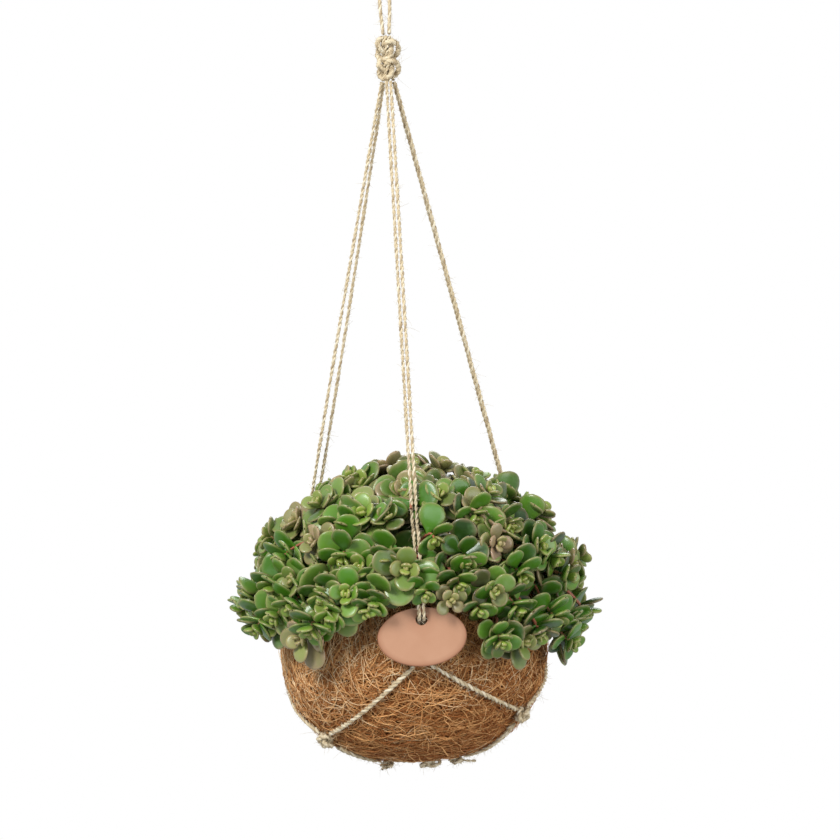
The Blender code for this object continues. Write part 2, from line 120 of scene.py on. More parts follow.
class Graph:
    """One material's node tree round its Principled shader."""

    def __init__(self, name, **constants):
        self.material = bpy.data.materials.new(name)
        self.material.use_nodes = True
        self.tree = self.material.node_tree
        self.shader = self.tree.nodes["Principled BSDF"]
        for key, value in constants.items():
            name = key.replace("_", " ").title().replace("Ior", "IOR")
            self.shader.inputs[name].default_value = value

    def feed(self, socket, value):
        if isinstance(value, Value):
            self.tree.links.new(value.socket, socket)
        else:
            socket.default_value = value

    def node(self, kind, settings, inputs, output=0):
        made = self.tree.nodes.new(kind)
        for key, value in settings.items():
            setattr(made, key, value)
        rows = inputs.items() if isinstance(inputs, dict) else enumerate(inputs)
        for key, value in rows:
            self.feed(made.inputs[key], value)
        return Value(self, made.outputs[output])

    def attribute(self, name):
        return self.node("ShaderNodeAttribute", {"attribute_name": name}, {}, "Fac")

    def noise(self, scale, detail=4.0):
        where = self.node("ShaderNodeTexCoord", {}, {}, "Object")
        return self.node("ShaderNodeTexNoise", {}, {"Vector": where, "Scale": scale,
                                                    "Detail": detail}, 0)

    def mix(self, factor, a, b):
        made = self.tree.nodes.new("ShaderNodeMix")
        made.data_type = "RGBA"
        for socket, value in ((made.inputs[0], factor), (made.inputs[6], a), (made.inputs[7], b)):
            self.feed(socket, value)
        return Value(self, made.outputs[2])

    def finish(self, colour, roughness, bump=None, strength=0.3, distance=0.0005):
        self.feed(self.shader.inputs["Base Color"], colour)
        self.feed(self.shader.inputs["Roughness"], roughness)
        if bump is not None:
            normal = self.node("ShaderNodeBump", {}, {"Strength": strength,
                                                      "Distance": distance, "Height": bump})
            self.feed(self.shader.inputs["Normal"], normal)
        return self.material


def fibre_material(name, dark, middle, light, fine=900.0):
    g = Graph(name, specular_ior_level=0.25)
    tone, patch = g.attribute("tone"), g.noise(28.0, 3.0)
    # On the coir fibres the tone attribute also carries painted light, so these mixes paint their top
    # and left side lighter and their deeper fibres darker.
    colour = g.mix(tone.between(0.05, 0.55), rgb(dark), rgb(middle))
    colour = g.mix((tone + patch * 0.8 - 0.4).between(0.45, 0.95), colour, rgb(light))
    grain = g.noise(fine)
    colour = g.mix(grain * 0.35, colour, rgb(dark))
    return g.finish(colour, 0.72 + 0.2 * grain, grain, 0.25, 0.0002)


COIR = fibre_material("coir fibre", "A06432", "ECB676", "FFE8BC")
CORE = fibre_material("coir mat", "58321A", "9C6634", "CC9456", 500.0)
JUTE = fibre_material("jute twine", "8E7656", "D4C4A2", "F0E8D0", 1500.0)


def soil_material():
    g = Graph("potting soil", specular_ior_level=0.2)
    grain = g.noise(420.0, 8.0)
    return g.finish(g.mix(grain, rgb("1E140D"), rgb("4A3524")), 0.9 - 0.1 * grain, grain, 0.8, 0.001)


def leaf_material():
    g = Graph("succulent leaf", specular_ior_level=0.45, subsurface_weight=0.12,
              subsurface_radius=(0.0012, 0.0018, 0.0005), coat_weight=0.06)
    tone, rim, young = g.attribute("tone"), g.attribute("rim"), g.attribute("young")
    patch, fine = g.noise(160.0, 3.0), g.noise(900.0, 2.0)
    # The tone attribute is random per leaf, plus painted light that makes the left-hand leaves paler.
    colour = g.mix(tone.between(0.0, 0.6), rgb("18310A"), rgb("487A18"))
    colour = g.mix(tone.between(0.6, 1.0) * 0.4, colour, rgb("8CA64C"))
    colour = g.mix(young * 0.85, colour, rgb("9DAA48"))
    colour = g.mix(patch.between(0.45, 0.8) * 0.35, colour, rgb("6F9560"))
    colour = g.mix(g.attribute("bronze") * (0.5 + 0.5 * patch), colour, rgb("A5856E"))
    colour = g.mix(rim * (0.25 + 0.45 * patch), colour, rgb("B08C70"))
    return g.finish(colour, 0.24 + 0.2 * patch, fine, 0.10, 0.0002)


def stem_material():
    g = Graph("succulent stem", specular_ior_level=0.4, subsurface_weight=0.08,
              subsurface_radius=(0.0015, 0.0008, 0.0004))
    patch = g.noise(90.0, 3.0)
    colour = g.mix(patch.between(0.35, 0.65), rgb("A5483F"), rgb("C0706A"))
    colour = g.mix(g.attribute("tone") * 0.6, colour, rgb("7A8A3E"))
    return g.finish(colour, 0.4 + 0.2 * patch, patch, 0.1, 0.0004)


def leather_material():
    g = Graph("tag leather", specular_ior_level=0.35)
    cloud, pore = g.noise(60.0, 5.0), g.noise(1400.0, 2.0)
    colour = g.mix(cloud, rgb("A87A5C"), rgb("BC9074"))
    colour = g.mix(g.attribute("rim") * 0.7, colour, rgb("8A5436"))
    return g.finish(colour, 0.5 + 0.2 * cloud, pore, 0.2, 0.0002)


SOIL, LEAF, STEM, HIDE = soil_material(), leaf_material(), stem_material(), leather_material()

# ---------------------------------------------------------------- mesh tools


class Heap:
    """Vertices, quads and point attributes gathered for one finished piece."""

    def __init__(self):
        self.verts, self.faces, self.facts, self.count = [], [], {}, 0

    def add(self, verts, faces, **facts):
        verts = verts.reshape(-1, 3)
        self.verts.append(verts)
        self.faces += (np.asarray(faces) + self.count).tolist()
        for key in set(facts) | set(self.facts):
            rows = self.facts.setdefault(key, [np.zeros(self.count)])
            value = np.asarray(facts.get(key, 0.0), float)
            rows.append(np.broadcast_to(value, (len(verts),)) if value.ndim == 0
                        else value.reshape(-1))
        self.count += len(verts)

    def build(self, name, material, slot, replaces=()):
        mesh = bpy.data.meshes.new(name)
        mesh.from_pydata(np.concatenate(self.verts).tolist(), [], self.faces)
        for key, rows in self.facts.items():
            layer = mesh.attributes.new(key, "FLOAT", "POINT")
            layer.data.foreach_set("value", np.concatenate(rows).astype(np.float32))
        mesh.shade_smooth()
        mesh.materials.append(material)
        made = bpy.data.objects.new(name, mesh)
        bpy.context.scene.collection.objects.link(made)
        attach(made, "root")
        if replaces:
            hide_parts(*replaces)
        return made


def ring_faces(rows, sides, lines=1):
    """Quads of `lines` tubes, each of `rows` rings of `sides` points; the ends stay open."""
    i, k = np.meshgrid(np.arange(rows - 1), np.arange(sides), indexing="ij")
    nxt = (k + 1) % sides
    quads = np.stack([i * sides + k, i * sides + nxt, (i + 1) * sides + nxt,
                      (i + 1) * sides + k], -1).reshape(-1, 4)
    base = (np.arange(lines) * rows * sides)[:, None, None]
    return (quads[None] + base).reshape(-1, 4)


def tubes(paths, radii, sides):
    """Round tubes along many paths at once: paths (n, points, 3), radii (n, points)."""
    lines, rows = paths.shape[:2]
    along = unit(np.gradient(paths, axis=1))
    hint = np.where(np.abs(along[:, :1, 2:]) > 0.8, np.array([1.0, 0, 0]), UP)
    side = unit(np.cross(along, np.broadcast_to(hint, along.shape)))
    other = np.cross(along, side)
    turn = 2 * np.pi * np.arange(sides) / sides
    ring = (side[:, :, None] * np.cos(turn)[None, None, :, None]
            + other[:, :, None] * np.sin(turn)[None, None, :, None])
    verts = paths[:, :, None] + ring * radii[:, :, None, None]
    return verts, ring_faces(rows, sides, lines)


def smooth_path(points, step):
    """Catmull-Rom through the points, cut at even steps."""
    pts = np.vstack([2 * points[0] - points[1], points, 2 * points[-1] - points[-2]])
    t = np.linspace(0, 1, 24, endpoint=False)[:, None]
    fine = [0.5 * (2 * b + (c - a) * t + (2 * a - 5 * b + 4 * c - d) * t ** 2
                   + (3 * b - a - 3 * c + d) * t ** 3)
            for a, b, c, d in zip(pts, pts[1:], pts[2:], pts[3:])]
    fine = np.vstack([*fine, points[-1:]])
    away = np.concatenate([[0], np.cumsum(np.linalg.norm(np.diff(fine, axis=0), axis=1))])
    marks = np.linspace(0, away[-1], max(3, round(away[-1] / step) + 1))
    return np.stack([np.interp(marks, away, fine[:, i]) for i in range(3)], -1)


def path_length(path):
    return float(np.linalg.norm(np.diff(path, axis=0), axis=1).sum())


def carried_frame(path):
    """A side direction carried along the path without twisting."""
    along = unit(np.gradient(path, axis=0))
    side = np.zeros_like(path)
    now = np.cross(along[0], [0.31, 0.83, 0.46])
    for i, way in enumerate(along):
        now = now - way * now.dot(way)
        now = now / np.linalg.norm(now)
        side[i] = now
    return along, side, np.cross(along, side)


hairs = []          # (place, outward direction, way along the cord) for the loose jute fibres


def rope(heap, path, diameter, pitch=6.5, hair=1.3, slubs=0.10):
    """Two plies laid round each other along a path, with a few thick places."""
    path = smooth_path(path, 0.0011)
    along, side, other = carried_frame(path)
    away = np.linspace(0, path_length(path), len(path))
    seed = rng.uniform(0, 6.28)
    swell = 1 + slubs * (np.sin(away * 190 + seed) * np.sin(away * 71 + seed * 2))
    turn = away / (pitch * MM) * 2 * np.pi + seed
    for ply in (0.0, np.pi):
        offset = (side * np.cos(turn + ply)[:, None] + other * np.sin(turn + ply)[:, None])
        line = path + offset * (diameter * 0.235 * MM * swell)[:, None]
        radius = diameter * 0.275 * MM * swell
        verts, faces = tubes(line[None], radius[None], 7)
        tone = 0.5 + 0.22 * np.sin(away * 300 + ply + seed) + rng.uniform(-0.1, 0.1, len(away))
        heap.add(verts, faces, tone=np.repeat(tone, 7))
    count = int(path_length(path) / MM * hair)
    for i in rng.integers(1, len(path) - 1, count):
        a = rng.uniform(0, 6.28)
        out = side[i] * math.cos(a) + other[i] * math.sin(a)
        hairs.append((path[i] + out * diameter * 0.4 * MM, out, along[i]))
    return path


# ---------------------------------------------------------------- twine routes

# The coir ball's side, from the middle of its underside to the rim: (height, radius).
OUTER = [(-60, 0), (-60, 13), (-59.3, 26), (-56.5, 37), (-51.5, 48), (-43.5, 58), (-32.5, 66),
         (-18, 72.5), (0, 75), (15, 74), (27, 71), (33, 67.5), (35, 63.5)]


def ball_radius(height):
    rows = np.array(OUTER[1:])
    return np.interp(height, rows[:, 0], rows[:, 1])


# Azimuths of the upper knots, then (azimuth, height) of the lower ones.
UPPER = {"front": 3.5, "right": 112.0, "left": -118.0}
LOWER = {"right": (59.0, -33.7), "left": (-56.5, -42.8), "back": (180.0, -39.0)}
UPPER_HEIGHT, KNOT_TOP, KNOT_FOOT = 6.0, 350.0, 323.0


def leg_route(azimuth, offset):
    across = outward(azimuth + 90) * offset * MM
    start, foot = place(azimuth, 3.6, KNOT_FOOT + 0.1), place(azimuth, 79.5, UPPER_HEIGHT + 6.5)
    line = [start + (foot - start) * t for t in (0.0, 0.1, 0.5, 0.8)]
    if azimuth == UPPER["front"]:
        line += [place(azimuth, r, h) for r, h in ((72, 70), (84, 43), (88.6, 34), (89.4, 29),
                                                   (87.8, 25.2), (85.6, 24.2), (83.2, 23.2),
                                                   (80.9, 19.4), (79.3, 12.1))]
    else:
        line += [start + (foot - start) * 0.93, place(azimuth, 79.3, UPPER_HEIGHT + 5.6)]
    spread = [0.92] + [1.0] * (len(line) - 1)
    if azimuth == UPPER["left"]:        # these two swing apart and cross near the leaves
        spread = [0.92, 1.6, 3.2, 1.1, -1.0, -1.0]
        pass_by = outward(azimuth) * math.copysign(1.35, offset) * MM
        line[3], line[4] = line[3] + pass_by, line[4] + pass_by
    return np.array([p + across * s for p, s in zip(line, spread)])


for side, azimuth in UPPER.items():
    for number, offset in ((1, -1.28), (2, 1.28)):
        heap = Heap()
        route = rope(heap, leg_route(azimuth, offset), STRAND, slubs=0.16)
        name = f"{side}_leg_strand_{number}"
        leg = heap.build(f"{name}_twine", JUTE, "jute", [name])
        centre = route[::3] if (len(route) - 1) % 3 == 0 else np.vstack([route[::3], route[-1:]])

for number, shift in enumerate((-2.6, 0.0, 2.6), 1):
    half = [(1.7, KNOT_TOP + 0.5), (2.6, KNOT_TOP + 13), (3.4, 378), (6.8, 393), (7.6, 403), (5.6, 411)]
    points = [[x * MM, shift * (1 if z > 372 else 0.85) * MM, (z - BALL_DROP) * MM]
              for x, z in half]
    points += [[0, shift * MM, STRAND / 2 * MM]] + [[-x, y, z] for x, y, z in points[::-1]]
    heap = Heap()
    route = rope(heap, np.array(points), STRAND)
    loop = heap.build(f"loop_strand_{number}_twine", JUTE, "jute", [f"loop_strand_{number}"])


def arm_route(start, end, sag):
    (a0, h0), (a1, h1) = start, end
    t = np.linspace(0, 1, 9)
    height = h0 + (h1 - h0) * (t + sag * np.sin(np.pi * t))
    return place(a0 + (a1 - a0) * t, ball_radius(height) + ARM / 2 + 0.75, height)


ARMS = [("front", "left", 0.16), ("front", "right", 0.10), ("right", "right", 0.10),
        ("right", "back", 0.12), ("left", "left", 0.14), ("left", "back", 0.12)]
for upper, lower, sag in ARMS:
    a0, (a1, h1) = UPPER[upper], LOWER[lower]
    a1 = -180.0 if (upper, lower) == ("left", "back") else a1
    lean = math.copysign(1.0, a1 - a0)
    route = arm_route((a0 + 3.2 * lean, UPPER_HEIGHT - 7.3), (a1 - 5.2 * lean, h1 + 1.6), sag)
    heap = Heap()
    rope(heap, route, ARM, slubs=0.16, hair=2.4)
    heap.build(f"{upper}_arm_{lower}_twine", JUTE, "jute", [f"{upper}_arm_to_{lower}_knot"])


def tied(heap, centre, along, out, size, strand, turns=1):
    """An overhand knot: a trefoil of twine drawn to the knot's size, wound `turns` times."""
    side = unit(np.cross(along, out))
    t = np.linspace(0, 2 * np.pi, 61)
    for turn in range(turns):
        ring = 0.30 + 0.145 * np.cos(3 * t + turn * 1.6)
        x, z = ring * np.cos(2 * t + turn), ring * np.sin(2 * t + turn)
        y = 0.30 * np.sin(3 * t + turn * 1.6)
        line = (centre + (side * (x * size[0])[:, None] + along * (z * size[2])[:, None]
                          + out * (y * size[1])[:, None]) * MM)
        rope(heap, line, strand, pitch=5.5, hair=2.5)


def tail(heap, start, direction, length, strand):
    """A short cut end of twine that fans out a little."""
    steps = np.linspace(0, 1, 5)[:, None]
    bend = np.cross(direction, [0.3, 0.5, 0.8]) * 0.35
    rope(heap, start + (direction * steps + bend * steps ** 2) * length * MM, strand, hair=5.0)


heap = Heap()
for shift, size in ((-5.6, (14.0, 12.0, 14.5)), (5.4, (15.0, 12.5, 15.0))):
    tied(heap, place(0, 0, 336.5 + shift), UP, outward(0), size, 3.3, 2)
for k in range(6):
    spin = place(k * 60.0 + np.array([0, 60, 150, 240, 300]), np.array([3.4, 2.6, 2.4, 2.6, 2.2]),
                 np.array([324.0, 331, 337, 343, 349]))
    rope(heap, spin, STRAND, hair=0.5)
heap.build("top_knot_twine", JUTE, "jute", ["top_knot"])

for side, azimuth in UPPER.items():
    heap = Heap()
    tied(heap, place(azimuth, 78.7, UPPER_HEIGHT), UP, outward(azimuth), (10.5, 7.0, 11.5), 2.8, 2)
    heap.build(f"{side}_upper_knot_twine", JUTE, "jute", [f"{side}_upper_knot"])

BOTTOM = {"right": (60.0, 24.2), "left": (-47.0, 24.2), "back": (180.0, 24.2)}
for side, (azimuth, height) in LOWER.items():
    radius = ball_radius(height)
    slope = math.atan2(ball_radius(height + 4) - ball_radius(height - 4), 8.0)
    down = unit(-UP * math.cos(slope) - outward(azimuth) * math.sin(slope))
    face = unit(outward(azimuth) * math.cos(slope) - UP * math.sin(slope))
    centre = place(azimuth, radius, height) + face * 3.9 * MM
    heap = Heap()
    tied(heap, centre, down, face, (10.0, 7.0, 10.0), 2.8, 2)
    heap.build(f"{side}_lower_knot_twine", JUTE, "jute", [f"{side}_lower_knot"])
    low_azimuth, low_radius = BOTTOM[side]
    for number, offset in ((1, -1.6), (2, 1.6)):
        points = []
        for t in np.linspace(0, 1, 6):
            h = float(np.interp(t, [0, 0.35, 0.7, 1], [height - 5.6, -52.0, -56.8, -58.3]))
            r = float(ball_radius(h)) if t < 1 else low_radius + 5.0
            a = azimuth + (low_azimuth - azimuth) * t
            lift = place(a, r, h) + unit(outward(a) * 0.55 - UP * 0.83) * 2.1 * MM
            points.append(lift + outward(a + 90) * offset * MM)
        heap = Heap()
        rope(heap, np.array(points), STRAND, hair=2.0)
        heap.build(f"{side}_under_twine_{number}", JUTE, "jute", [f"{side}_under_strand_{number}"])
    heap = Heap()
    spot = place(low_azimuth, low_radius, -62.7)
    tied(heap, spot, outward(low_azimuth), -UP, (8.0, 5.0, 8.0), 2.1, 1)
    tail(heap, spot + outward(low_azimuth) * 2 * MM, unit(outward(low_azimuth + 50) - UP * 0.25),
         9.0, 1.6)
    heap.build(f"{side}_bottom_knot_twine", JUTE, "jute", [f"{side}_bottom_knot"])

heap = Heap()
rope(heap, place(46.5 + np.linspace(0, 307, 25), 18.0, -61.45), STRAND, hair=2.0)
heap.build("bottom_ring_twine", JUTE, "jute", ["bottom_ring"])
heap = Heap()
tied(heap, place(20.0, 18.0, -63.2), outward(110.0), -UP, (6.5, 5.0, 14.0), 2.1, 2)
heap.build("bottom_ring_knot_twine", JUTE, "jute", ["bottom_ring_knot"])

# Loose fibres that stand off the twine.
spots = np.array([h[0] for h in hairs])
outs, ways = np.array([h[1] for h in hairs]), np.array([h[2] for h in hairs])
count = len(spots)
length = rng.gamma(2.0, 0.8, count)[:, None] * MM
lean = rng.uniform(-1.6, 1.6, (count, 1))
steps = np.linspace(0, 1, 4)
heading = unit(outs * 0.8 + ways * lean + rng.normal(0, 0.3, (count, 3)))
curl = rng.normal(0, 0.35, (count, 3))
lines = (spots[:, None] + heading[:, None] * (length * steps)[..., None]
         + curl[:, None] * (length * steps ** 2)[..., None])
verts, faces = tubes(lines, np.full((count, 4), 0.00009) * np.linspace(1, 0.4, 4), 3)
heap = Heap()
heap.add(verts, faces, tone=np.repeat(rng.uniform(0.3, 1.0, count), 12))
heap.build("twine_fuzz", JUTE, "jute")

# ---------------------------------------------------------------- coir ball

profile = np.array([(r, h) for h, r in OUTER], float)
arc = np.concatenate([[0], np.cumsum(np.linalg.norm(np.diff(profile, axis=0), axis=1))])
fine_arc = np.linspace(0, arc[-1], 90)
soft = np.stack([np.interp(fine_arc, arc, profile[:, i]) for i in (0, 1)], -1)
for _ in range(4):
    soft[1:-1] = (soft[:-2] + 2 * soft[1:-1] + soft[2:]) / 4


def on_coir(azimuth, s, lift):
    """Points on the coir at arc length s up from the underside, lifted off by `lift` mm."""
    radius = np.interp(s, fine_arc, soft[:, 0])
    height = np.interp(s, fine_arc, soft[:, 1])
    tangent = unit(np.gradient(soft, axis=0))
    out_r = np.interp(s, fine_arc, tangent[:, 1])
    out_h = -np.interp(s, fine_arc, tangent[:, 0])
    return place(azimuth, radius + out_r * lift, height + out_h * lift)


MAT_SIDES = 180
inner = np.array([(33, 60.5), (20, 62), (0, 63), (-20, 60), (-35, 52), (-44, 41), (-48, 25),
                  (-49, 0)], float)
grid_s, grid_a = np.meshgrid(fine_arc, 360.0 * np.arange(MAT_SIDES) / MAT_SIDES,
                             indexing="ij")
bumps = rng.normal(0, 0.4, grid_s.shape) - 2.0
bumps[:2] = -1.6
outside = on_coir(grid_a, grid_s, bumps)
inside = place(grid_a[:len(inner)], inner[:, 1:] + 0 * grid_a[:len(inner)],
               inner[:, :1] + 0 * grid_a[:len(inner)])
skin = np.concatenate([outside, inside])
heap = Heap()
heap.add(skin, ring_faces(len(skin), MAT_SIDES), tone=rng.uniform(0, 0.8, skin.shape[:2]))
heap.build("coir_mat", CORE, "coir", ["coir_ball"])


def fibres(name, count, lengths, lift, radius):
    """Coconut fibres felted over the ball, steeper high up and on the left, flatter below."""
    weight = soft[:, 0] / soft[:, 0].sum()      # evenly spread by area
    s = rng.choice(fine_arc, count, p=weight) + rng.uniform(-1, 1, count)
    azimuth = rng.uniform(-180, 180, count)
    height = np.interp(s, fine_arc, soft[:, 1])
    steep = np.clip((height + 45) / 70, 0, 1) * np.where(azimuth < 0, 1.0, 0.7)
    slope = np.radians(12 + 62 * steep + rng.normal(0, 34, count)) * rng.choice((-1, 1), count)
    length = rng.uniform(*lengths, count)
    t = np.linspace(-0.5, 0.5, 6)
    wander = rng.normal(0, 0.9, (count, 1)) * (t ** 2 * 4)[None]
    angle = slope[:, None] + wander * 0.5
    run = length[:, None] * t
    path_s = np.clip(s[:, None] + run * np.sin(angle), 0.5, arc[-1] - 0.5)
    reach = np.maximum(np.interp(path_s, fine_arc, soft[:, 0]), 9.0)
    path_a = azimuth[:, None] + np.degrees(run * np.cos(angle) / reach)
    base = rng.uniform(*lift, count)[:, None]
    arch = np.abs(rng.normal(0, 0.8, count))[:, None] * (1 - 4 * t ** 2)
    tipped = rng.choice((0.0, 1.0), count, p=(0.8, 0.2))[:, None] * (t + 0.5) ** 2 * 2.0
    verts, faces = tubes(on_coir(path_a, path_s, base + arch + tipped),
                         rng.uniform(*radius, count)[:, None] * MM
                         * np.array([0.5, 0.9, 1, 1, 0.8, 0.4]), 3)
    # Random tone plus painted light: fibres higher up and on the left, where the key lamp falls, are
    # painted lighter, and fibres lying deeper in the felt are painted darker as shade.
    tone_and_painted_light = np.clip(rng.beta(2.0, 2.0, count) + 0.25 * base[:, 0] + 0.004 * height
                    - 0.0012 * azimuth * (np.abs(azimuth) < 100), 0, 1)
    heap = Heap()
    heap.add(verts, faces, tone=np.repeat(tone_and_painted_light, 18))
    heap.build(name, COIR, "coir")


# (lengths, lift off the ball, radii), all in mm
for number in range(3):
    fibres(f"coir_fibres_{number + 1}", 5200, (8, 30), (-1.5, -0.1), (0.15, 0.36))
fibres("coir_stray_fibres", 800, (14, 36), (-0.6, 1.2), (0.10, 0.20))

# ---------------------------------------------------------------- soil

heap = Heap()
top = np.array([(20, 60.5), (31, 59.8), (34, 50), (37, 34), (38.5, 18), (39.5, 4)], float)
SOIL_ROWS, SOIL_SIDES = 40, 120
ring_r = np.interp(np.linspace(0, 5, SOIL_ROWS), np.arange(6), top[:, 1])
ring_h = np.interp(np.linspace(0, 5, SOIL_ROWS), np.arange(6), top[:, 0])
spin = 360.0 * np.arange(SOIL_SIDES) / SOIL_SIDES
crumbs = rng.normal(0, 0.45, (SOIL_ROWS, SOIL_SIDES))
heap.add(place(spin[None] + 0 * ring_r[:, None], ring_r[:, None] + 0 * spin,
               ring_h[:, None] + crumbs), ring_faces(SOIL_ROWS, SOIL_SIDES))
heap.build("soil_surface", SOIL, "soil", ["potting_soil"])

# ---------------------------------------------------------------- tag

TAG_SIZE, TAG_SIDES = (47.5, 31.5), 96
HOLE_RADIUS, HOLE_RISE = 3.1, 9.2       # the hole's centre above the tag's
tag_out, tag_side = outward(UPPER["front"]), outward(UPPER["front"] + 90)
tag_centre = place(UPPER["front"], 85.6, 15.0)
angle = np.linspace(0, 2 * np.pi, TAG_SIDES, endpoint=False)
hole = np.stack([HOLE_RADIUS * np.cos(angle), HOLE_RISE + HOLE_RADIUS * np.sin(angle)], -1)
edge = np.stack([TAG_SIZE[0] / 2 * np.cos(angle), TAG_SIZE[1] / 2 * np.sin(angle)], -1)


def tag_ring(mix, depth):
    flat = hole + (edge - hole) * mix
    return tag_centre + (tag_side * flat[:, :1] + UP * flat[:, 1:]
                         + tag_out * (depth + 0.10 * np.sin(flat[:, :1] * 0.16))) * MM


front = [0.0, 0.03, 0.3, 0.6, 0.85, 0.93, 0.97, 0.99]
rings = [tag_ring(m, d) for m, d in zip(front, (0.75, 0.9, 0.9, 0.9, 0.9, 0.86, 0.8, 0.62))]
rings += [tag_ring(1.0, d) for d in (0.3, -0.3)]
rings += [tag_ring(m, d) for m, d in zip(front[::-1], (-0.62, -0.8, -0.86, -0.9, -0.9, -0.9,
                                                       -0.9, -0.75))]
rings.append(rings[0])
rim = np.repeat([0.6, 0.3, 0, 0, 0, 0.35, 0.7, 1, 1, 1, 1, 0.7, 0.35, 0, 0, 0, 0.3, 0.6, 0.6],
                TAG_SIDES)
heap = Heap()
heap.add(np.array(rings), ring_faces(len(rings), TAG_SIDES), rim=rim)
heap.build("leather_tag_oval", HIDE, "leather", ["leather_tag"])

# ---------------------------------------------------------------- plant

# Where each stem leaves the soil (azimuth, radius), then its tips:
# (azimuth, radius, height, leaf length, how far the tip looks up, bronze)
SHOOTS = {
    "centre_front_shoot": ((4, 47), [(-1, 92, 52, 17, 25, 0.25), (13, 96, 34, 9, 5, 0.9)]),
    "right_front_shoot": ((33, 45), [(27, 97, 38, 12, 5, 0.3), (33, 89, 62, 10, -10, 1)]),
    "right_side_shoot": ((62, 36), [(53, 89, 58, 13, 25, 0), (82, 76, 76, 12, 45, 0.2)]),
    "right_spread_shoot": ((80, 47), [(67, 95, 40, 12, 5, 0), (90, 97, 48, 12, 10, 0.2)]),
    "right_low_shoot": ((76, 51), [(80, 99, 17, 11, -20, 0), (62, 99, 4, 11, -30, 0)]),
    "front_right_low_shoot": ((44, 51), [(44, 99, 12, 12, -20, 0), (29, 97, 10, 11, -40, 0)]),
    "front_top_shoot": ((20, 26), [(17, 60, 88, 13, 55, 0.2), (47, 62, 88, 12, 50, 0.2)]),
    "left_front_shoot": ((-28, 53), [(-33, 99, 21, 13, -15, 0), (-20, 97, 40, 13, 10, 0)]),
    "left_spread_shoot": ((-62, 52), [(-60, 99, 20, 12, -10, 0), (-72, 96, 38, 12, 10, 0.3)]),
    "left_bud_shoot": ((-36, 40), [(-38, 83, 67, 11, 35, 1), (-43, 92, 46, 12, 15, 0.4)]),
    "left_top_shoot": ((-55, 20), [(-62, 35, 99, 13, 70, 0.1), (-50, 63, 86, 13, 50, 0.3)]),
    "crown_shoot": ((10, 6), [(12, 22, 103, 12, 80, 0.1), (-10, 68, 78, 12, 50, 0.3)]),
    "left_side_shoot": ((-88, 38), [(-82, 80, 68, 12, 40, 0.3), (-106, 88, 58, 12, 30, 0)]),
    "left_back_low_shoot": ((-108, 53), [(-99, 99, 25, 12, 0, 0), (-123, 98, 14, 12, -15, 0)]),
    "left_back_shoot": ((-140, 38), [(-132, 92, 50, 13, 20, 0.2), (-152, 80, 68, 12, 40, 0)]),
    "back_left_low_shoot": ((-164, 52), [(-155, 99, 24, 12, 3, 0), (-175, 98, 8, 12, -20, 0)]),
    "back_shoot": ((175, 32), [(-176, 91, 50, 13, 20, 0), (172, 60, 87, 12, 60, 0.3)]),
    "back_right_low_shoot": ((155, 53), [(151, 97, 34, 12, 5, 0), (158, 98, 8, 12, -20, 0)]),
    "right_back_shoot": ((130, 38), [(124, 92, 52, 13, 20, 0.2), (142, 75, 74, 12, 45, 0)]),
    "right_back_low_shoot": ((129, 51), [(130, 98, 12, 12, -15, 0), (107, 99, 25, 12, 0, 0)]),
    "right_top_shoot": ((100, 20), [(106, 70, 79, 12, 45, 0), (78, 40, 96, 12, 65, 0.2)]),
    "left_crown_shoot": ((-125, 18), [(-120, 55, 89, 13, 55, 0), (-178, 22, 101, 12, 75, 0.2)]),
}
# Smaller side growth that closes the front of the plant: (azimuth, height, leaf length).
FILLERS = {
    "centre_front_shoot": ((-12, 34, 12), (16, 42, 11), (5, 38, 9), (-8, 56, 12), (10, 66, 12)),
    "left_front_shoot": ((-26, 28, 12), (-14, 30, 11), (-42, 33, 13), (-30, 38, 13)),
    "right_front_shoot": ((22, 28, 11), (36, 26, 12), (40, 44, 13), (20, 54, 12)),
    "left_bud_shoot": ((-24, 58, 13), (-52, 58, 12), (-30, 74, 12)),
    "front_top_shoot": ((30, 76, 12), (2, 82, 12)),
    "right_side_shoot": ((46, 70, 12), (60, 50, 13)),
    "right_low_shoot": ((72, 10, 11), (54, 18, 12)),
    "left_spread_shoot": ((-50, 27, 12), (-52, 42, 13), (-68, 32, 12)),
}
LEAF_RINGS, LEAF_SIDES = 12, 12


def leaf_shape():
    """A unit leaf as rings (x along, y across, z thick) with its rim mark."""
    u = np.concatenate([np.linspace(0, 0.86, 8), [0.93, 0.97, 0.992, 1.0]])
    wide = np.where(u < 0.6, 0.12 + 0.88 * np.sin(np.pi / 2 * np.clip(u / 0.6, 0, 1)) ** 1.5,
                    np.sqrt(np.clip(1 - ((u - 0.6) / 0.402) ** 2, 0, 1)))
    thick = 0.35 + 0.65 * np.sin(np.pi * np.clip(u, 0, 1) * 0.62 + 0.35)
    thick = thick * np.sqrt(np.clip(1 - (u / 1.004) ** 14, 0, 1))
    phi = 2 * np.pi * np.arange(LEAF_SIDES) / LEAF_SIDES
    across = np.sign(np.cos(phi)) * np.abs(np.cos(phi)) ** 0.8
    y, z = wide[:, None] * across, thick[:, None] * np.sin(phi)
    rim = np.maximum(np.abs(np.cos(phi)) ** 7 * np.clip((u[:, None] - 0.15) * 4, 0, 1),
                     np.clip((u[:, None] - 0.9) * 9, 0, 1))
    return u[:, None] + 0 * y, y, z, rim


LEAF_X, LEAF_Y, LEAF_Z, LEAF_RIM = leaf_shape()
LEAF_FACES = ring_faces(LEAF_RINGS, LEAF_SIDES)


